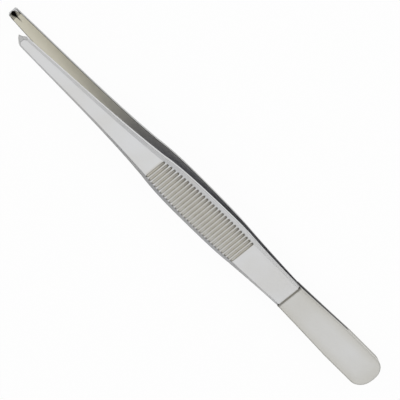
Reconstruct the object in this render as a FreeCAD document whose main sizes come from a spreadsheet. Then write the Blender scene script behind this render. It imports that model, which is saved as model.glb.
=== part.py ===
"""Thumb tissue forceps with one tooth against two, 145 mm long, in stainless steel.

Two forged blades are welded together at the heel and spring apart towards the tips. Each blade has a
flat weld face, a neck, a thinner spring behind a low step, a cross-grooved finger grip, and a nose
that tapers to the teeth. Its outer edges are bevelled from the step to the tip.

Each blade is drawn in its own frame: X runs from the heel's end to the tip, Y across the blade, and
Z outwards from the weld plane. The pair then lies as it comes to rest, on one blade's outer face.
"""

import FreeCAD, Part
import Sketcher
import math
import os

SHEET = "Sizes"
FLAT_EPSILON = 0.01  # how near to the highest line a corner counts as part of the outer face, mm
MESH_STEP = 0.01     # how finely the faces are read to find where the pair rests, mm
LEAN_ROUNDS = 12     # rounds that settle the angle at which the pair rests
CLEAR = 12.0         # how far the outlines of what is cut away reach past the blade, mm
BURIED = 0.5         # how deep the tooth's root is drawn inside the blade, mm
OVERRUN = 1.0        # how far the tooth's ramp is drawn past its point, before the tip is cut, mm

# Driving dimensions in millimetres and degrees. Places run from the heel's end towards the tip, and
# heights from the weld plane outwards.
SIZES = {
    # heel, where the two blades are welded
    "heel_width": 9.2,
    "heel_thickness": 1.5,
    "heel_end_radius": 7.9,
    "heel_corner_radius": 3.95,
    "heel_edge_radius": 0.35,
    "weld_length": 16.5,
    # neck, from the weld to the step
    "shoulder_place": 15.4,
    "neck_width": 7.65,
    "neck_opening": 0.5,
    "seam_relief": 0.25,
    "step_place": 36.4,
    "step_rise": 0.38,
    "step_run": 0.25,
    # spring, from the step to the grip
    "spring_place": 46.1,
    "spring_width": 8.1,
    "spring_opening": 1.25,
    "spring_thickness": 1.2,
    "spring_bevel_width": 0.6,
    "spring_bevel_depth": 0.45,
    # finger grip, bowed a little outwards
    "grip_place": 55.7,
    "grip_length": 37.3,
    "grip_rear_width": 8.95,
    "grip_rear_outer": 3.15,
    "grip_rear_thickness": 1.6,
    "grip_back_width": 9.6,
    "grip_back_outer": 3.82,
    "grip_middle_width": 9.52,
    "grip_middle_outer": 4.44,
    "grip_fore_width": 9.08,
    "grip_fore_outer": 5.0,
    "grip_front_width": 7.48,
    "grip_front_outer": 5.5,
    "grip_thickness": 1.85,
    "grip_bevel_width": 0.9,
    "grip_bevel_depth": 0.6,
    # cross grooves of the grip
    "groove_count": 29,
    "groove_pitch": 1.2725,
    "groove_radius": 0.37,
    "groove_depth": 0.3,
    "groove_end_radius": 0.45,
    "groove_start": 0.9,
    # nose, from the grip to the tip
    "root_width": 5.5,
    "root_outer": 6.15,
    "root_bevel_width": 0.7,
    "root_bevel_depth": 0.5,
    "nose_width": 4.3,
    "nose_outer": 6.85,
    "nose_thickness": 1.7,
    "nose_bevel_width": 0.55,
    "nose_bevel_depth": 0.45,
    "beak_width": 3.44,
    "beak_outer": 7.58,
    "beak_thickness": 1.6,
    "beak_bevel_width": 0.42,
    "beak_bevel_depth": 0.36,
    # tip and teeth
    "length": 145.0,
    "tip_width": 2.5,
    "tip_gap": 13.8,
    "tip_thickness": 1.45,
    "tip_bevel_width": 0.33,
    "tip_bevel_depth": 0.3,
    "tip_slant": 14.0,
    "tooth_height": 1.1,
    "tooth_ramp": 2.6,
    "tooth_angle": 56.0,
    "tooth_clearance": 0.05,
    "tooth_inset": 0.05,
    "double_tooth_span": 1.7,
    "notch_rise": 12.0,
    "single_corner_length": 0.9,
    "single_corner_width": 0.7,
    "double_corner_length": 0.3,
    "double_corner_width": 0.25,
}

SPANS = 4  # equal spans between the sections of the grip, and as many between those of the nose
GRIP_STATION = "$grip_place + {0} * $grip_length / " + str(SPANS)
GRIP_END = "$grip_place + $grip_length"
NOSE_STATION = f"{GRIP_END} + {{0}} * ($length - $grip_place - $grip_length) / {SPANS}"
TIP_INNER = "$tip_gap / 2"
TOOTH_POINT = "($tip_gap / 2 - $tooth_height)"


def fill_sheet(doc):
    """Writes each driving dimension to a cell of its own, with its name as the cell's alias."""
    sheet = doc.addObject("Spreadsheet::Sheet", SHEET)
    for row, (name, value) in enumerate(SIZES.items(), start=1):
        sheet.set(f"A{row}", name)
        sheet.set(f"B{row}", str(value))
        sheet.setAlias(f"B{row}", name)
    doc.recompute()
    return sheet


def from_sheet(words):
    """Turns each $name of a size into the sheet's cell of that name."""
    return words.replace("$", SHEET + ".")


def new_sketch(body, name, role, **offsets):
    """Starts a sketch on one of the body's own origin planes, moved off it by offsets x, y or z."""
    plane = next(feature for feature in body.Origin.OriginFeatures if feature.Role == role)
    sketch = body.newObject("Sketcher::SketchObject", name)
    sketch.AttachmentSupport = [(plane, "")]
    sketch.MapMode = "FlatFace"
    for axis, words in offsets.items():
        sketch.setExpression(f"AttachmentOffset.Base.{axis}", from_sheet(words))
    return sketch


def draw_outline(sketch, points):
    """Draws a closed outline of straight lines through the points, joined end to end."""
    corners = [FreeCAD.Vector(x, y, 0) for x, y in points]
    lines = [Part.LineSegment(a, b) for a, b in zip(corners, corners[1:] + corners[:1])]
    sketch.addGeometry(lines, False)
    for i in range(len(lines)):
        sketch.addConstraint(Sketcher.Constraint("Coincident", i, 2, (i + 1) % len(lines), 1))


def set_size(sketch, kind, words, *where):
    """Adds a constraint of a set size, and binds that size to the sheet."""
    words = from_sheet(words)
    index = sketch.addConstraint(Sketcher.Constraint(kind, *where, float(sketch.evalExpression(words))))
    sketch.setExpression(f"Constraints[{index}]", words)


def blade_section(body, name, place, width, outer, thickness, bevel_width, bevel_depth):
    """Draws the blade's section at one place: flat inner face, two sides, two bevels, flat outer face."""
    sketch = new_sketch(body, name, "YZ_Plane", z=place)
    draw_outline(sketch, [(-4, 1), (4, 1), (4, 2), (3, 3), (-3, 3), (-4, 2)])
    for constraint in [
        ("Symmetric", 0, 1, 0, 2, -2),
        ("Symmetric", 3, 1, 3, 2, -2),
        ("Vertical", 1),
        ("Vertical", 5),
        ("Horizontal", 1, 2, 4, 2),
    ]:
        sketch.addConstraint(Sketcher.Constraint(*constraint))
    set_size(sketch, "DistanceX", width, 0, 1, 0, 2)
    set_size(sketch, "DistanceY", outer, -1, 1, 3, 1)
    set_size(sketch, "DistanceY", f"({outer}) - ({thickness})", -1, 1, 0, 1)
    set_size(sketch, "DistanceY", bevel_depth, 1, 2, 3, 1)
    set_size(sketch, "DistanceX", bevel_width, 3, 1, 1, 2)
    return sketch


def set_shape(sketch, *constraints):
    """Adds the constraints that carry no size."""
    for constraint in constraints:
        sketch.addConstraint(Sketcher.Constraint(*constraint))


def arc(centre, radius, start, end):
    """Makes an arc about a centre, anticlockwise from one angle to the other."""
    return Part.ArcOfCircle(Part.Circle(centre, FreeCAD.Vector(0, 0, 1), radius), start, end)


def add_neck(body):
    """Pads the side view of heel and neck: a flat weld face, a gentle lift, and the step's ramp."""
    sketch = new_sketch(body, "neck_side", "XZ_Plane")
    weld, step, run = SIZES["weld_length"], SIZES["step_place"], SIZES["step_run"]
    thickness, opening, rise = SIZES["heel_thickness"], SIZES["neck_opening"], SIZES["step_rise"]
    inner_radius = ((step - weld) ** 2 + opening ** 2) / (2 * opening)
    outer_radius = inner_radius - thickness
    point, down = FreeCAD.Vector, -math.pi / 2
    centre = point(weld, inner_radius, 0)
    inner_arc = arc(centre, inner_radius, down, down + math.asin((step - weld) / inner_radius))
    outer_arc = arc(centre, outer_radius, down, down + math.asin((step - run - weld) / outer_radius))
    ramp_foot = point(step, opening + thickness - rise, 0)
    sketch.addGeometry([
        Part.LineSegment(point(0, 0, 0), point(weld, 0, 0)),
        inner_arc,
        Part.LineSegment(inner_arc.EndPoint, ramp_foot),
        Part.LineSegment(ramp_foot, outer_arc.EndPoint),
        outer_arc,
        Part.LineSegment(point(weld, thickness, 0), point(0, thickness, 0)),
        Part.LineSegment(point(0, thickness, 0), point(0, 0, 0)),
    ], False)
    set_shape(
        sketch,
        ("Coincident", 0, 1, -1, 1), ("Horizontal", 0), ("Tangent", 0, 2, 1, 1),
        ("Coincident", 1, 2, 2, 1), ("Vertical", 2), ("Coincident", 2, 2, 3, 1),
        ("Coincident", 3, 2, 4, 2), ("Coincident", 1, 3, 4, 3), ("Tangent", 4, 1, 5, 1),
        ("Horizontal", 5), ("Coincident", 5, 2, 6, 1), ("Vertical", 6), ("Coincident", 6, 2, 0, 1),
    )
    set_size(sketch, "DistanceX", "$weld_length", 0, 1, 0, 2)
    set_size(sketch, "DistanceX", "$step_place", 0, 1, 1, 2)
    set_size(sketch, "DistanceY", "$neck_opening", 0, 1, 1, 2)
    set_size(sketch, "DistanceY", "$heel_thickness", 6, 2, 6, 1)
    set_size(sketch, "DistanceY", "$heel_thickness - $step_rise", 2, 1, 2, 2)
    set_size(sketch, "DistanceX", "$step_run", 4, 2, 2, 2)
    pad = body.newObject("PartDesign::Pad", "neck")
    pad.Profile = sketch
    pad.SideType = "Symmetric"
    pad.setExpression("Length", from_sheet("$heel_width * 1.5"))


def cut_heel_plan(body):
    """Cuts away what lies outside the plan of heel and neck: a rounded end and a tapering neck."""
    sketch = new_sketch(body, "heel_plan", "XY_Plane")
    half, neck = SIZES["heel_width"] / 2, SIZES["neck_width"] / 2
    end_radius, corner_radius = SIZES["heel_end_radius"], SIZES["heel_corner_radius"]
    shoulder, step = SIZES["shoulder_place"], SIZES["step_place"]
    corner_height = half - corner_radius
    corner_turn = math.asin(corner_height / (end_radius - corner_radius))
    corner_place = end_radius - (end_radius - corner_radius) * math.cos(corner_turn)
    point, quarter = FreeCAD.Vector, math.pi / 2
    sketch.addGeometry([
        arc(point(end_radius, 0, 0), end_radius, math.pi - corner_turn, math.pi + corner_turn),
        arc(point(corner_place, corner_height, 0), corner_radius, quarter, math.pi - corner_turn),
        Part.LineSegment(point(corner_place, half, 0), point(shoulder, half, 0)),
        Part.LineSegment(point(shoulder, half, 0), point(step, neck, 0)),
        arc(point(corner_place, -corner_height, 0), corner_radius, math.pi + corner_turn, 3 * quarter),
        Part.LineSegment(point(corner_place, -half, 0), point(shoulder, -half, 0)),
        Part.LineSegment(point(shoulder, -half, 0), point(step, -neck, 0)),
        Part.LineSegment(point(step, neck, 0), point(step, CLEAR, 0)),
        Part.LineSegment(point(step, CLEAR, 0), point(-CLEAR, CLEAR, 0)),
        Part.LineSegment(point(-CLEAR, CLEAR, 0), point(-CLEAR, -CLEAR, 0)),
        Part.LineSegment(point(-CLEAR, -CLEAR, 0), point(step, -CLEAR, 0)),
        Part.LineSegment(point(step, -CLEAR, 0), point(step, -neck, 0)),
    ], False)
    set_shape(
        sketch,
        ("PointOnObject", 0, 3, -1),
        ("Tangent", 0, 1, 1, 2), ("Tangent", 1, 1, 2, 1), ("Coincident", 2, 2, 3, 1),
        ("Tangent", 0, 2, 4, 1), ("Tangent", 4, 2, 5, 1), ("Coincident", 5, 2, 6, 1),
        ("Equal", 1, 4), ("Horizontal", 2), ("Horizontal", 5),
        ("Symmetric", 2, 2, 5, 2, -1), ("Symmetric", 3, 2, 6, 2, -1),
        ("Coincident", 3, 2, 7, 1), ("Coincident", 7, 2, 8, 1), ("Coincident", 8, 2, 9, 1),
        ("Coincident", 9, 2, 10, 1), ("Coincident", 10, 2, 11, 1), ("Coincident", 11, 2, 6, 2),
        ("Vertical", 7), ("Horizontal", 8), ("Symmetric", 9, 1, 9, 2, -1), ("Horizontal", 10), ("Vertical", 11),
    )
    set_size(sketch, "Radius", "$heel_end_radius", 0)
    set_size(sketch, "DistanceX", "$heel_end_radius", -1, 1, 0, 3)
    set_size(sketch, "Radius", "$heel_corner_radius", 1)
    set_size(sketch, "DistanceY", "$heel_width", 5, 2, 2, 2)
    set_size(sketch, "DistanceX", "$shoulder_place", -1, 1, 2, 2)
    set_size(sketch, "DistanceX", "$step_place", -1, 1, 7, 1)
    set_size(sketch, "DistanceY", "$neck_width", 11, 2, 7, 1)
    set_size(sketch, "DistanceX", f"{CLEAR}", 9, 1, -1, 1)
    set_size(sketch, "DistanceY", f"{CLEAR}", -1, 1, 9, 1)
    pocket = body.newObject("PartDesign::Pocket", "heel_and_shoulders")
    pocket.Profile = sketch
    pocket.Reversed = True
    pocket.Type = "ThroughAll"


def round_heel_edges(doc, body):
    """Rounds the outer edges of heel and neck, apart from the step's own."""
    doc.recompute()
    shape = body.Tip.Shape
    top = SIZES["heel_thickness"] - FLAT_EPSILON
    names = [
        f"Edge{number}" for number, edge in enumerate(shape.Edges, start=1)
        if edge.BoundBox.ZMin > top and edge.BoundBox.XLength > SIZES["step_run"]
    ]
    base = body.Tip
    fillet = body.newObject("PartDesign::Fillet", "heel_edges")
    fillet.Base = (base, names)
    fillet.setExpression("Radius", from_sheet("$heel_edge_radius"))


def relieve_seam(doc, body):
    """Chamfers the inner edges of the neck, so that a thin seam shows up to the weld."""
    doc.recompute()
    shape = body.Tip.Shape
    top = SIZES["neck_opening"] + FLAT_EPSILON
    length = (SIZES["step_place"] - SIZES["weld_length"]) / 2
    names = [
        f"Edge{number}" for number, edge in enumerate(shape.Edges, start=1)
        if edge.BoundBox.ZMax < top and edge.BoundBox.XLength > length and edge.BoundBox.XMin > SIZES["shoulder_place"]
    ]
    base = body.Tip
    chamfer = body.newObject("PartDesign::Chamfer", "seam_relief")
    chamfer.Base = (base, names)
    chamfer.setExpression("Size", from_sheet("$seam_relief"))


def add_loft(body, name, sections):
    """Lofts smoothly through the sections, in their order."""
    loft = body.newObject("PartDesign::AdditiveLoft", name)
    loft.Profile = sections[0]
    loft.Sections = sections[1:]


def add_spring(body):
    """Lofts the spring, from the step to the grip's rear end."""
    bevel = "$spring_bevel_width", "$spring_bevel_depth"
    waist = "$heel_thickness - $step_rise"
    add_loft(body, "spring", [
        blade_section(body, "waist_section", "$step_place", "$neck_width",
                      f"$neck_opening + {waist}", waist, *bevel),
        blade_section(body, "spring_section", "$spring_place", "$spring_width",
                      "$spring_opening + $spring_thickness", "$spring_thickness", *bevel),
        blade_section(body, "spring_end_section", "$grip_place", "$grip_rear_width", "$grip_rear_outer",
                      "$grip_rear_thickness", "$grip_bevel_width", "$grip_bevel_depth"),
    ])


def add_grip(body):
    """Lofts the finger grip through its sections, from the spring to the nose."""
    bevel = "$grip_bevel_width", "$grip_bevel_depth"
    forms = [("rear", "$grip_rear_thickness"), ("back", "$grip_thickness"), ("middle", "$grip_thickness"),
             ("fore", "$grip_thickness"), ("front", "$grip_thickness")]
    add_loft(body, "grip", [
        blade_section(body, f"grip_{name}_section", GRIP_STATION.format(station), f"$grip_{name}_width",
                      f"$grip_{name}_outer", thickness, *bevel)
        for station, (name, thickness) in enumerate(forms)
    ])


def add_nose(body):
    """Lofts the nose, which tapers from the grip to the tip."""
    forms = [
        ("nose_rear", "$grip_front_width", "$grip_front_outer", "$grip_thickness",
         "$grip_bevel_width", "$grip_bevel_depth"),
        ("root", "$root_width", "$root_outer", "$grip_thickness", "$root_bevel_width", "$root_bevel_depth"),
        ("nose", "$nose_width", "$nose_outer", "$nose_thickness", "$nose_bevel_width", "$nose_bevel_depth"),
        ("beak", "$beak_width", "$beak_outer", "$beak_thickness", "$beak_bevel_width", "$beak_bevel_depth"),
        ("tip", "$tip_width", f"{TIP_INNER} + $tip_thickness", "$tip_thickness",
         "$tip_bevel_width", "$tip_bevel_depth"),
    ]
    add_loft(body, "nose", [
        blade_section(body, f"{name}_section", NOSE_STATION.format(station), *form)
        for station, (name, *form) in enumerate(forms)
    ])


def add_tooth_block(body):
    """Pads the teeth's side view across the tip: a ramp down from the inner face to the points."""
    sketch = new_sketch(body, "tooth_side", "XZ_Plane", x="$length", y=TIP_INNER)
    draw_outline(sketch, [(-3, 0), (1, -2), (1, 1), (-3, 1)])
    set_shape(sketch, ("PointOnObject", 0, 1, -1), ("Vertical", 1), ("Horizontal", 2), ("Vertical", 3))
    set_size(sketch, "DistanceX", "$tooth_ramp", 0, 1, -1, 1)
    set_size(sketch, "DistanceX", f"{OVERRUN}", -1, 1, 0, 2)
    set_size(sketch, "DistanceY", f"$tooth_height * (1 + {OVERRUN} / $tooth_ramp)", 0, 2, -1, 1)
    set_size(sketch, "DistanceY", f"{BURIED}", -1, 1, 2, 1)
    pad = body.newObject("PartDesign::Pad", "tooth_block")
    pad.Profile = sketch
    pad.SideType = "Symmetric"
    pad.setExpression("Length", from_sheet("$tip_width - 2 * $tooth_inset"))


def cut_through(body, name, sketch, length):
    """Cuts the sketch's outline away, equally to both sides of its plane."""
    pocket = body.newObject("PartDesign::Pocket", name)
    pocket.Profile = sketch
    pocket.SideType = "Symmetric"
    pocket.setExpression("Length", from_sheet(length))


def turn_sketch(sketch, axis, words):
    """Turns the sketch about an axis of its own."""
    base = sketch.AttachmentOffset.Base
    sketch.AttachmentOffset = FreeCAD.Placement(base, FreeCAD.Rotation(axis, -1))
    sketch.setExpression("AttachmentOffset.Rotation.Angle", from_sheet(words))


def cut_tip(body, corner_length, corner_width):
    """Cuts the tip's slanted end and its two corners, all parallel to the line of the teeth."""
    sketch = new_sketch(body, "tip_plan", "XY_Plane", x="$length", z=TOOTH_POINT)
    turn_sketch(sketch, FreeCAD.Vector(0, 1, 0), "-$tip_slant")
    draw_outline(sketch, [(-2, 2), (0, 1), (0, -1), (-2, -2), (-2, -9), (9, -9), (9, 9), (-2, 9)])
    set_shape(
        sketch,
        ("PointOnObject", 1, 1, -2), ("Symmetric", 1, 1, 1, 2, -1), ("Symmetric", 0, 1, 2, 2, -1),
        ("Vertical", 3), ("Horizontal", 4), ("Symmetric", 5, 1, 5, 2, -1), ("Vertical", 7),
        ("Horizontal", 6),
    )
    set_size(sketch, "DistanceX", f"{corner_length} * 1.5", 0, 1, -1, 1)
    set_size(sketch, "DistanceY", f"$tip_width + {corner_width}", 2, 2, 0, 1)
    set_size(sketch, "DistanceY", f"$tip_width - 2 * {corner_width}", 1, 2, 1, 1)
    set_size(sketch, "DistanceX", f"{CLEAR}", -1, 1, 5, 1)
    set_size(sketch, "DistanceY", f"{CLEAR}", -1, 1, 5, 2)
    cut_through(body, "tip_end", sketch, "$tip_gap * 2")


def cut_single_tooth(body):
    """Cuts both flanks of the tooth block, which leaves one pointed tooth in the middle."""
    for name, side in (("left_flank", 1), ("right_flank", -1)):
        sketch = new_sketch(body, name, "YZ_Plane", z="$length", y=TIP_INNER)
        draw_outline(sketch, [(side, 0), (0, -1), (0, -2), (side * 5, -2), (side * 5, 0)])
        set_shape(
            sketch,
            ("PointOnObject", 0, 1, -1), ("PointOnObject", 1, 1, -2), ("PointOnObject", 2, 1, -2),
            ("Horizontal", 2), ("Vertical", 3), ("PointOnObject", 4, 1, -1),
        )
        ends = ((-1, 1, 0, 1), (0, 1, -1, 1))[side < 0]
        far_ends = ((-1, 1, 4, 1), (4, 1, -1, 1))[side < 0]
        set_size(sketch, "DistanceX", "$tooth_height * tan($tooth_angle / 2)", *ends)
        set_size(sketch, "DistanceX", "$tip_width", *far_ends)
        set_size(sketch, "DistanceY", "$tooth_height", 1, 1, -1, 1)
        set_size(sketch, "DistanceY", "$tooth_height * 2", 2, 1, -1, 1)
        cut_through(body, name + "_cut", sketch, "$tooth_ramp * 2.5")


def cut_double_teeth(body):
    """Cuts a V notch between two teeth, rising towards the heel, and slopes their outer flanks."""
    notch = new_sketch(body, "notch", "YZ_Plane", z="$length", y=TIP_INNER)
    turn_sketch(notch, FreeCAD.Vector(1, 0, 0), "-$notch_rise")
    draw_outline(notch, [(0, 0.3), (2, -3), (-2, -3)])
    set_shape(notch, ("PointOnObject", 0, 1, -2), ("Symmetric", 1, 1, 1, 2, -2))
    depth = "$double_tooth_span / 2 / tan($tooth_angle / 2) - $tooth_height + $tooth_clearance"
    set_size(notch, "DistanceY", depth, -1, 1, 0, 1)
    set_size(notch, "DistanceY", "$tooth_height * 3", 1, 1, 0, 1)
    set_size(notch, "DistanceX", "$tooth_height * 6 * tan($tooth_angle / 2)", 1, 2, 1, 1)
    cut_through(body, "notch_cut", notch, "$tooth_ramp * 3")
    for name, side in (("left_flank", 1), ("right_flank", -1)):
        sketch = new_sketch(body, name, "YZ_Plane", z="$length", y=TIP_INNER)
        draw_outline(sketch, [(side, -1), (side, -3), (side * 3, -3), (side * 3, 0)])
        set_shape(sketch, ("Vertical", 0), ("Horizontal", 1), ("Vertical", 2))
        near = ((-1, 1, 0, 1), (0, 1, -1, 1))[side < 0]
        far = ((0, 1, 2, 1), (2, 1, 0, 1))[side < 0]
        set_size(sketch, "DistanceX", "$double_tooth_span / 2", *near)
        set_size(sketch, "DistanceY", "$tooth_height", 0, 1, -1, 1)
        set_size(sketch, "DistanceY", "$tooth_height", 0, 2, 0, 1)
        set_size(sketch, "DistanceX", "$tip_width", *far)
        set_size(sketch, "DistanceY", "$tip_width / tan($tooth_angle / 2)", 0, 1, 3, 1)
        cut_through(body, name + "_cut", sketch, "$tooth_ramp * 2.5")


def outer_face_at(shape, place):
    """Reads the height and half width of the blade's outer face at one place along it."""
    corners = [v for wire in shape.slice(FreeCAD.Vector(1, 0, 0), place) for v in wire.Vertexes]
    top = max(corner.Z for corner in corners)
    return top, max(corner.Y for corner in corners if corner.Z > top - FLAT_EPSILON)


def round_ended_cutter(place, height, reach):
    """Makes one groove's cutter: a bar across the blade, rounded off in plan at both its ends."""
    radius, depth, end_radius = sheet.groove_radius, sheet.groove_depth, sheet.groove_end_radius
    mouth = math.sqrt(radius ** 2 - (radius - depth) ** 2)
    flank = reach - end_radius + math.sqrt(end_radius ** 2 - mouth ** 2)
    floor = height - radius
    across, up = FreeCAD.Vector(0, 1, 0), FreeCAD.Vector(0, 0, 1)
    bar = Part.makeCylinder(
        radius, 2 * reach, FreeCAD.Vector(place, -reach, height + radius - depth), across)
    corners = [FreeCAD.Vector(place + x * mouth, y * flank, floor)
               for x, y in ((1, -1), (1, 1), (-1, 1), (-1, -1))]
    ends = [FreeCAD.Vector(place, y * reach, floor) for y in (1, -1)]
    plan = Part.Wire([
        Part.LineSegment(corners[0], corners[1]).toShape(),
        Part.Arc(corners[1], ends[0], corners[2]).toShape(),
        Part.LineSegment(corners[2], corners[3]).toShape(),
        Part.Arc(corners[3], ends[1], corners[0]).toShape(),
    ])
    return bar.common(Part.Face(plan).extrude(up * 2 * radius))


def groove_tools(doc, label, shape):
    """Makes the cutters of the grip's cross grooves, each as long as the outer face is wide there."""
    tools = []
    for number in range(int(sheet.groove_count)):
        place = sheet.grip_place + sheet.groove_start + number * sheet.groove_pitch
        tools.append(round_ended_cutter(place, *outer_face_at(shape, place)))
    grooves = doc.addObject("Part::Feature", label + "_grooves")
    grooves.Shape = Part.makeCompound(tools)
    return grooves


def stop_if_failed(doc):
    """Stops at the first object that failed, which a recompute leaves without a word."""
    for item in doc.Objects:
        if "Invalid" in item.State or "Error" in item.State:
            raise RuntimeError(f"{item.Name} failed: {item.State}")


def forge_blade(doc, label, corner_length, corner_width, cut_teeth):
    """Makes one blade in its own frame, with its teeth, and cuts the grooves of its grip."""
    body = doc.addObject("PartDesign::Body", label + "_forging")
    add_neck(body)
    cut_heel_plan(body)
    round_heel_edges(doc, body)
    relieve_seam(doc, body)
    add_spring(body)
    add_grip(body)
    add_nose(body)
    add_tooth_block(body)
    cut_tip(body, corner_length, corner_width)
    cut_teeth(body)
    doc.recompute()
    stop_if_failed(doc)
    blade = doc.addObject("Part::Cut", label)
    blade.Base = body
    blade.Tool = groove_tools(doc, label, body.Shape)
    doc.recompute()
    return blade


def resting_lean(shape):
    """Finds the angle at which the outer face lies on a table, touching on both sides of the middle."""
    points = shape.tessellate(MESH_STEP)[0]
    middle = shape.Solids[0].CenterOfMass.x
    lean = 0.0
    for _ in range(LEAN_ROUNDS):
        def height(point):
            return point.z - point.x * math.tan(lean)
        back = max((point for point in points if point.x < middle), key=height)
        front = max((point for point in points if point.x >= middle), key=height)
        lean = math.atan2(front.z - back.z, front.x - back.x)
    return lean


def lay_down(upper, lower):
    """Turns the lower blade over, and lays the pair on it with the origin below its middle."""
    over = FreeCAD.Placement(FreeCAD.Vector(), FreeCAD.Rotation(FreeCAD.Vector(1, 0, 0), 180))
    lean = math.degrees(resting_lean(lower.Shape))
    tilt = FreeCAD.Placement(FreeCAD.Vector(), FreeCAD.Rotation(FreeCAD.Vector(0, 1, 0), -lean))
    pair = Part.makeCompound([upper.Shape.copy(), lower.Shape.copy().transformed(over.Matrix)])
    box = pair.transformed(tilt.Matrix).optimalBoundingBox(False)
    move = FreeCAD.Vector(-box.Center.x, -box.Center.y, -box.ZMin)
    upper.Placement = FreeCAD.Placement(move, tilt.Rotation)
    lower.Placement = FreeCAD.Placement(move, tilt.Rotation).multiply(over)


def check_and_write(doc, parts):
    """Stops on any failed object or shape, and then writes each part's solid to a file of its name."""
    doc.recompute()
    stop_if_failed(doc)
    os.makedirs("parts", exist_ok=True)
    for part in parts:
        if part.Shape.isNull() or not part.Shape.isValid() or len(part.Shape.Solids) != 1:
            raise RuntimeError(f"{part.Label} isn't one valid solid")
        part.Shape.exportStep(f"parts/{part.Label}.step")
        print(part.Label, round(part.Shape.Volume, 2), part.Shape.BoundBox)


doc = FreeCAD.newDocument("forceps")
sheet = fill_sheet(doc)
upper_blade = forge_blade(
    doc, "single_tooth_blade", "$single_corner_length", "$single_corner_width", cut_single_tooth)
lower_blade = forge_blade(
    doc, "double_tooth_blade", "$double_corner_length", "$double_corner_width", cut_double_teeth)
lay_down(upper_blade, lower_blade)
check_and_write(doc, [upper_blade, lower_blade])
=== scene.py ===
import math

import bpy
from mathutils import Matrix, Vector

# Where the camera stands, as read from the photograph. It looks down on the blades,
# with the tips at its upper left.
CAMERA_AZIMUTH = 66.845
CAMERA_ELEVATION = 60.72
CAMERA_ROLL = 161.576
CAMERA_DISTANCE = 0.9
CAMERA_AIM = Vector((0.0, 0.0, 0.008))
CAMERA_AIM_RIGHT = -0.000589
CAMERA_AIM_UP = 0.003229
CAMERA_LENS = 322.7
CAMERA_SENSOR = 36.0
CAMERA_CLIP = 0.01, 10.0

# Colours of the steel
STEEL_COLOUR = (0.672, 0.677, 0.685, 1.0)
STEEL_WARM = (0.657, 0.655, 0.646, 1.0)
INNER_OPEN = (0.63, 0.605, 0.51, 1.0)
# painted shade on the inner faces where the blades come close
INNER_SHADE_COLOUR = (0.36, 0.37, 0.425, 1.0)
# tint of the heel's finish, and painted shade on its rims and end
HEEL_TINT_AND_SHADE = (0.555, 0.545, 0.505, 1.0)
ZONE_COLOUR = (0.575, 0.56, 0.515, 1.0)
# painted shade in recesses, warm-tinted
RECESS_SHADE_COLOUR = (0.35, 0.32, 0.235, 1.0)
# painted shade on edges, sides, seam, step, notch, tips and deep recesses
PAINTED_SHADE_COLOUR = (0.02, 0.02, 0.022, 1.0)

# How strongly the painted shade shows in each place, from 0 to 1
CREVICE_SHADE = 0.8
LOWER_SIDE_SHADE = 0.35
OUTER_EDGE_SHADE = 0.45
INNER_EDGE_SHADE = 0.9
RECESS_SHADE = 0.9
DEEP_RECESS_SHADE = 0.95
FAR_SIDE_SHARE = 0.6
GROOVE_END_SHADE = 0.6
NOTCH_SHADE = 0.9
TIP_END_SHADE = 0.25
STEP_SHADE = 0.4
SEAM_SHADE = 0.95

# Grain of the steel, and how far its painted shade reaches, in metres
ROUGHNESS = 0.36
ROUGHNESS_CLOUDS = 0.02
ROUGHNESS_GRAIN = 0.03
CLOUD_SCALE = 90.0
GRAIN_SCALE = 9000.0
GRAIN_STRETCH = (0.05, 1.0, 1.0)
FINE_SCALE = 24000.0
BUMP_STRENGTH = 0.12
BUMP_HEIGHT = 0.00001
SHADE_REACH = 0.004
GAP_REACH = 0.015
SHADE_SAMPLES = 16
EDGE_RADIUS = 0.00012
EDGE_SAMPLES = 6
HEEL_EDGE_REACH = 0.0008
BLADE_EDGE_REACH = 0.0004
EDGE_SHADE_SAMPLES = 8

# Places on the forceps, in metres: the plane of the seam between the blades, and stations
# along them
SEAM_HEIGHT = 0.004912
SEAM_SLOPE = 0.04729
HEEL_END = -0.0726
HEEL_END_REACH = 0.007
WELD_END = -0.0561
STEP_PLACE = -0.0362
GRIP_START = -0.0169
GRIP_MIDDLE = 0.0
ZONE_START = -0.0165
ZONE_END = 0.0201
NOTCH_START = 0.0696

FLOOR_HALF = 1.5
FLOOR_COLOUR = (0.95, 0.95, 0.95, 1.0)
FLOOR_GLOW = 0.95
WHITE = (1.0, 1.0, 1.0, 1.0)
SKY_STRENGTH = 0.85

# Grey cards stand around the object, out of the camera's sight, so that its rims and bevels
# show against the white. Each has its arc in degrees and its lower and upper edge in metres.
CARD_RADIUS = 0.45
CARD_SIDES = 14
FAR_CARD_COLOUR = (0.35, 0.35, 0.355, 1.0)
FAR_CARD_ARC = 20, 215
FAR_CARD_EDGES = 0.0, 0.2
NEAR_CARD_COLOUR = (0.6, 0.6, 0.61, 1.0)
NEAR_CARD_ARC = 230, 350
NEAR_CARD_EDGES = 0.17, 0.36

LAMP_PLACE = Vector((0.25, -0.45, 0.75))
LAMP_SIZE = 0.5
LAMP_POWER = 0.3


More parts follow.
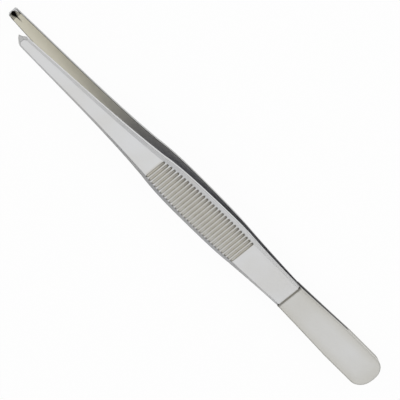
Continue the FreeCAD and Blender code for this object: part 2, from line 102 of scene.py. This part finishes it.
class Nodes:
    """A node tree that is filled one node at a time."""

    def __init__(self, tree):
        self.tree = tree
        tree.nodes.clear()

    def feed(self, socket, value):
        if isinstance(value, bpy.types.NodeSocket):
            self.tree.links.new(value, socket)
        else:
            socket.default_value = value

    def add(self, kind, inputs=(), **settings):
        node = self.tree.nodes.new(kind)
        for name, value in settings.items():
            setattr(node, name, value)
        for name, value in dict(inputs).items():
            self.feed(node.inputs[name], value)
        return node

    def math(self, operation, first, second=0.0, clamp=False):
        inputs = {0: first, 1: second}
        return self.add("ShaderNodeMath", inputs, operation=operation, use_clamp=clamp).outputs[0]

    def times(self, first, second):
        return self.math("MULTIPLY", first, second)

    def size_of(self, value):
        return self.math("ABSOLUTE", value)

    def ramp(self, value, low, high, to_low=0.0, to_high=1.0):
        """A smooth rise or fall from to_low to to_high, while the value goes from low to high."""
        limits = {"From Min": low, "From Max": high, "To Min": to_low, "To Max": to_high}
        inputs = {"Value": value, **limits}
        return self.add("ShaderNodeMapRange", inputs, interpolation_type="SMOOTHSTEP").outputs[0]

    def parts(self, vector):
        return self.add("ShaderNodeSeparateXYZ", {"Vector": vector}).outputs

    def noise(self, place, scale, detail=2.0, stretch=(1.0, 1.0, 1.0)):
        mapped = self.add("ShaderNodeMapping", {"Vector": place, "Scale": stretch})
        inputs = {"Vector": mapped.outputs["Vector"], "Scale": scale, "Detail": detail}
        return self.add("ShaderNodeTexNoise", inputs, noise_dimensions="3D").outputs["Fac"]

    def mix(self, factor, first, second):
        """The first colour where the factor is 0, and the second where it is 1."""
        node = self.add("ShaderNodeMix", data_type="RGBA")
        for number, value in ((0, factor), (6, first), (7, second)):
            self.feed(node.inputs[number], value)
        return node.outputs[2]

    def sky_share(self, reach, own_only):
        """1 on an open face, less where something nearer than the reach stands over it."""
        settings = {"samples": SHADE_SAMPLES, "only_local": own_only}
        return self.add("ShaderNodeAmbientOcclusion", {"Distance": reach}, **settings).outputs["AO"]

    def bent_normal(self, radius, samples):
        """The normal as if the edges were rounded off."""
        return self.add("ShaderNodeBevel", {"Radius": radius}, samples=samples).outputs["Normal"]


class Steel(Nodes):
    """Forged stainless steel: satin outside, warmer and duller on the inner faces, painted shade in
    recesses.
    """

    def __init__(self, tree):
        super().__init__(tree)
        coordinates = self.add("ShaderNodeTexCoord").outputs
        self.place = coordinates["Object"]
        self.x, self.y, z = self.parts(self.place)
        self.ahead, self.side, self.facing = self.parts(coordinates["Normal"])
        seam = self.math("ADD", self.times(self.x, SEAM_SLOPE), SEAM_HEIGHT)
        self.lift = self.math("SUBTRACT", z, seam)
        away_from_seam = self.times(self.math("SIGN", self.lift), self.facing)
        self.inner = self.ramp(away_from_seam, -0.8, -0.4, 1.0, 0.0)
        self.clouds = self.noise(self.place, CLOUD_SCALE)
        self.open_sky = self.sky_share(SHADE_REACH, True)

    def colour(self):
        """The metal's colour, with painted shade at the heel and between the blades, before the rest of
        its painted shade.
        """
        metal = self.mix(self.ramp(self.clouds, 0.3, 0.7), STEEL_COLOUR, STEEL_WARM)
        metal = self.mix(self.heel_tint_and_rim_shade(), metal, HEEL_TINT_AND_SHADE)
        metal = self.mix(self.inner, metal, self.inner_colour())
        outer = self.math("SUBTRACT", 1.0, self.inner)
        return self.mix(self.times(self.grooved_zone(), outer), metal, ZONE_COLOUR)

    def heel_tint_and_rim_shade(self):
        """How far the heel and neck are tinted: a little behind the step, and more at their rims and
        end, as painted shade.
        """
        behind = self.ramp(self.x, STEP_PLACE - 0.0002, STEP_PLACE, 1.0, 0.0)
        # painted shade on the heel's rims and end
        rim = self.ramp(self.size_of(self.y), 0.0015, 0.0046, 0.0, 0.5)
        end = self.ramp(self.x, HEEL_END, HEEL_END + HEEL_END_REACH, 0.5, 0.0)
        plain = self.ramp(self.x, WELD_END, STEP_PLACE, 0.35, 0.6)
        tint = self.math("ADD", self.math("MAXIMUM", rim, end), plain, clamp=True)
        return self.times(behind, tint)

    def inner_colour(self):
        """Light near the tips; painted shade, bluer and darker, where the blades come close, and dark
        at the weld.
        """
        between = self.sky_share(GAP_REACH, False)
        metal = self.mix(self.ramp(between, 0.3, 0.9), INNER_SHADE_COLOUR, INNER_OPEN)
        return self.mix(self.ramp(between, 0.02, 0.29, CREVICE_SHADE, 0.0), metal, PAINTED_SHADE_COLOUR)

    def grooved_zone(self):
        """How far the outer face is matt and warmer, where the grip is grooved."""
        start = self.ramp(self.x, ZONE_START - 0.0003, ZONE_START)
        end = self.ramp(self.x, ZONE_END, ZONE_END + 0.0003, 1.0, 0.0)
        past_rim = self.math("SUBTRACT", self.size_of(self.y), self.half_zone())
        across = self.ramp(past_rim, -0.0004, 0.0, 0.6, 0.0)
        level = self.ramp(self.size_of(self.facing), 0.85, 0.97)
        return self.times(self.times(self.times(start, end), across), level)

    def half_zone(self):
        """Half the width of the outer face along the grip."""
        return self.ramp(self.x, GRIP_MIDDLE, 0.021, 0.0039, 0.0028)

    def shaded(self, metal):
        """The metal with painted shade on its edges and in its recesses, and a line of painted shade
        along the seam.
        """
        for share in (self.lower_side_painted_shade(), self.edges()):
            metal = self.mix(share, metal, PAINTED_SHADE_COLOUR)
        far_side = self.ramp(self.y, 0.0012, 0.0036, 1.0, FAR_SIDE_SHARE)
        # painted shade where the surface's own hollows hide the sky
        recess_painted_shade = self.ramp(self.open_sky, 0.6, 0.97, RECESS_SHADE, 0.0)
        metal = self.mix(self.times(recess_painted_shade, far_side), metal, RECESS_SHADE_COLOUR)
        deep_painted_shade = self.times(self.ramp(self.open_sky, 0.3, 0.7, DEEP_RECESS_SHADE, 0.0), far_side)
        tip_shades = self.notch_painted_shade(), self.tip_end_painted_shade()
        for share in (deep_painted_shade, self.groove_end_painted_shade(), *tip_shades, self.step_shade_line(), self.seam_shade_line()):
            metal = self.mix(share, metal, PAINTED_SHADE_COLOUR)
        return metal

    def lower_side_painted_shade(self):
        """Painted shade makes the side faces below the seam a little darker."""
        sideways = self.ramp(self.size_of(self.side), 0.85, 0.95)
        return self.times(sideways, self.ramp(self.lift, -0.0005, 0.0, LOWER_SIDE_SHADE, 0.0))

    def edges(self):
        """Painted shade on sharp edges. It fades out on both sides, further at the heel's round rim."""
        limits = (STEP_PLACE - 0.0002, STEP_PLACE, HEEL_EDGE_REACH, BLADE_EDGE_REACH)
        bent = self.bent_normal(self.ramp(self.x, *limits), EDGE_SHADE_SAMPLES)
        flat = self.add("ShaderNodeNewGeometry").outputs["Normal"]
        product = self.add("ShaderNodeVectorMath", {0: bent, 1: flat}, operation="DOT_PRODUCT")
        sharp = self.ramp(product.outputs["Value"], 0.9, 0.995, 1.0, 0.0)
        return self.times(sharp, self.ramp(self.inner, 0.0, 1.0, OUTER_EDGE_SHADE, INNER_EDGE_SHADE))

    def groove_end_painted_shade(self):
        """Painted shade at the ends of the grip's grooves on one side."""
        from_rim = self.math("ADD", self.y, self.half_zone())
        end = self.ramp(from_rim, 0.0003, 0.0028, GROOVE_END_SHADE, 0.0)
        return self.times(end, self.ramp(self.open_sky, 0.6, 0.9, 1.0, 0.0))

    def notch_painted_shade(self):
        """Painted shade in the notch and at the roots of the teeth."""
        at_tip = self.ramp(self.x, NOTCH_START, NOTCH_START + 0.0006)
        return self.times(at_tip, self.ramp(self.open_sky, 0.55, 0.85, NOTCH_SHADE, 0.0))

    def tip_end_painted_shade(self):
        """Painted shade on the faces at the tips that point ahead."""
        at_tip = self.ramp(self.x, NOTCH_START - 0.001, NOTCH_START)
        return self.times(at_tip, self.ramp(self.ahead, 0.25, 0.6, 0.0, TIP_END_SHADE))

    def step_shade_line(self):
        """A fine line of painted shade across the step behind the spring."""
        from_step = self.size_of(self.math("SUBTRACT", self.x, STEP_PLACE - 0.0001))
        return self.ramp(from_step, 0.00005, 0.0003, STEP_SHADE, 0.0)

    def seam_shade_line(self):
        """A line of painted shade along the seam on the blades' sides. It ends at the weld and widens
        ahead.
        """
        downwards = self.times(self.lift, -1.0)
        below = self.math("SUBTRACT", downwards, self.ramp(self.x, WELD_END, GRIP_START, 0.0, 0.0015))
        above = self.math("SUBTRACT", self.lift, self.ramp(self.x, WELD_END, STEP_PLACE, 0.0, 0.0005))
        near = self.ramp(self.math("MAXIMUM", above, below), 0.0004, 0.001, SEAM_SHADE, 0.0)
        sideways = self.ramp(self.size_of(self.side), 0.4, 0.7)
        past_weld = self.ramp(self.x, WELD_END - 0.0002, WELD_END + 0.0002)
        before_grip = self.ramp(self.x, GRIP_START, GRIP_MIDDLE, 1.0, 0.0)
        return self.times(self.times(near, sideways), self.times(past_weld, before_grip))

    def finish(self, metal):
        """Puts the colour on a brushed surface with soft edges."""
        grain = self.noise(self.place, GRAIN_SCALE, 2.0, GRAIN_STRETCH)
        fine = self.noise(self.place, FINE_SCALE, 1.0)
        limits = ROUGHNESS - ROUGHNESS_CLOUDS, ROUGHNESS + ROUGHNESS_CLOUDS
        cloudy = self.ramp(self.clouds, 0.3, 0.7, *limits)
        grainy = self.ramp(grain, 0.25, 0.75, -ROUGHNESS_GRAIN, ROUGHNESS_GRAIN)
        height = self.math("ADD", self.times(grain, 0.7), self.times(fine, 0.3))
        soft_edge = self.bent_normal(EDGE_RADIUS, EDGE_SAMPLES)
        bump_inputs = {"Strength": BUMP_STRENGTH, "Distance": BUMP_HEIGHT}
        bump_inputs.update({"Height": height, "Normal": soft_edge})
        bump = self.add("ShaderNodeBump", bump_inputs).outputs["Normal"]
        inputs = {"Base Color": metal, "Metallic": 1.0, "Normal": bump}
        inputs["Roughness"] = self.math("ADD", grainy, cloudy)
        shader = self.add("ShaderNodeBsdfPrincipled", inputs).outputs["BSDF"]
        self.add("ShaderNodeOutputMaterial", {"Surface": shader})


def new_material(name, kind=Nodes):
    material = bpy.data.materials.new(name)
    material.use_nodes = True
    return material, kind(material.node_tree)


def satin_steel():
    material, steel_nodes = new_material("satin_steel", Steel)
    steel_nodes.finish(steel_nodes.shaded(steel_nodes.colour()))
    return material


def seen_directly(n):
    """1 for rays that show the background itself: in the camera, reflected, or through glass."""
    rays = n.add("ShaderNodeLightPath").outputs
    seen = n.math("MAXIMUM", rays["Is Camera Ray"], rays["Is Glossy Ray"])
    return n.math("MAXIMUM", seen, rays["Is Transmission Ray"])


def make_object(name, points, faces):
    mesh = bpy.data.meshes.new(name)
    mesh.from_pydata(points, [], faces)
    thing = bpy.data.objects.new(name, mesh)
    bpy.context.scene.collection.objects.link(thing)
    return thing


def make_floor():
    """A white floor that glows nearly as bright as the background, and keeps a faint shadow."""
    corners = [(x * FLOOR_HALF, y * FLOOR_HALF, 0.0) for x, y in ((-1, -1), (1, -1), (1, 1), (-1, 1))]
    floor = make_object("floor", corners, [(0, 1, 2, 3)])
    material, n = new_material("white_floor")
    paper = n.add("ShaderNodeBsdfDiffuse", {"Color": FLOOR_COLOUR}).outputs["BSDF"]
    glow = n.add("ShaderNodeEmission", {"Color": WHITE, "Strength": 1.0}).outputs["Emission"]
    share = n.times(seen_directly(n), FLOOR_GLOW)
    mixed = n.add("ShaderNodeMixShader", {0: share, 1: paper, 2: glow}).outputs["Shader"]
    n.add("ShaderNodeOutputMaterial", {"Surface": mixed})
    floor.data.materials.append(material)


def stand_card(name, colour, arc, edges):
    """A bent grey card around part of the object. Only its reflection and its shade are seen."""
    start, end = arc
    turns = [math.radians(start + (end - start) * i / CARD_SIDES) for i in range(CARD_SIDES + 1)]
    rim = [(CARD_RADIUS * math.cos(turn), CARD_RADIUS * math.sin(turn)) for turn in turns]
    points = [(x, y, z) for z in edges for x, y in rim]
    faces = [(i, i + 1, CARD_SIDES + 2 + i, CARD_SIDES + 1 + i) for i in range(CARD_SIDES)]
    card = make_object(name, points, faces)
    card.visible_camera = False
    material, n = new_material(name)
    paper = n.add("ShaderNodeBsdfDiffuse", {"Color": colour}).outputs["BSDF"]
    n.add("ShaderNodeOutputMaterial", {"Surface": paper})
    card.data.materials.append(material)


def light_world():
    """A plain white sky, a little dimmer as a light than where it is seen itself."""
    world = bpy.data.worlds.new("studio")
    world.use_nodes = True
    bpy.context.scene.world = world
    n = Nodes(world.node_tree)
    light, seen = (
        n.add("ShaderNodeBackground", {"Color": WHITE, "Strength": strength}).outputs["Background"]
        for strength in (SKY_STRENGTH, 1.0)
    )
    mixed = n.add("ShaderNodeMixShader", {0: seen_directly(n), 1: light, 2: seen})
    n.add("ShaderNodeOutputWorld", {"Surface": mixed.outputs["Shader"]})


def add_lamp():
    """A weak square lamp that points at the middle of the floor."""
    lamp = bpy.data.lights.new("key", "AREA")
    lamp.shape = "RECTANGLE"
    lamp.size = lamp.size_y = LAMP_SIZE
    lamp.energy = LAMP_POWER
    holder = bpy.data.objects.new("key", lamp)
    holder.location = LAMP_PLACE
    holder.rotation_mode = "QUATERNION"
    holder.rotation_quaternion = (-LAMP_PLACE).to_track_quat("-Z", "Y")
    bpy.context.scene.collection.objects.link(holder)


def camera_axes():
    """The camera's right, up and back directions."""
    turns = map(math.radians, (CAMERA_AZIMUTH, CAMERA_ELEVATION, CAMERA_ROLL))
    azimuth, elevation, roll = turns
    outwards = Vector((math.sin(azimuth), -math.cos(azimuth), 0.0))
    back = outwards * math.cos(elevation) + Vector((0.0, 0.0, math.sin(elevation)))
    level = Vector((math.cos(azimuth), math.sin(azimuth), 0.0))
    upright = back.cross(level)
    right = level * math.cos(roll) + upright * math.sin(roll)
    up = -level * math.sin(roll) + upright * math.cos(roll)
    return right, up, back


def make_camera():
    right, up, back = camera_axes()
    data = bpy.data.cameras.new("camera")
    data.lens, data.sensor_width = CAMERA_LENS, CAMERA_SENSOR
    data.clip_start, data.clip_end = CAMERA_CLIP
    camera = bpy.data.objects.new("camera", data)
    aim = CAMERA_AIM + right * CAMERA_AIM_RIGHT + up * CAMERA_AIM_UP
    camera.location = aim + back * CAMERA_DISTANCE
    camera.rotation_mode = "QUATERNION"
    camera.rotation_quaternion = Matrix((right, up, back)).transposed().to_quaternion()
    bpy.context.scene.collection.objects.link(camera)
    bpy.context.scene.camera = camera


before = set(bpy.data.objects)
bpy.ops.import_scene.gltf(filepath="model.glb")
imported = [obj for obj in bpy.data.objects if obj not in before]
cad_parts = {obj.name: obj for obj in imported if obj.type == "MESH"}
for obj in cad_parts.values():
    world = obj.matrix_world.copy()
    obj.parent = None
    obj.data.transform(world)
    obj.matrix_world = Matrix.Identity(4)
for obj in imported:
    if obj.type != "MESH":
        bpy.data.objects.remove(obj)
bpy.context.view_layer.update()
steel = satin_steel()
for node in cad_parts.values():
    for slot in node.material_slots:
        slot.material = steel
make_floor()
stand_card("far_card", FAR_CARD_COLOUR, FAR_CARD_ARC, FAR_CARD_EDGES)
stand_card("near_card", NEAR_CARD_COLOUR, NEAR_CARD_ARC, NEAR_CARD_EDGES)
light_world()
add_lamp()
make_camera()
bpy.context.scene.view_settings.view_transform = "Standard"
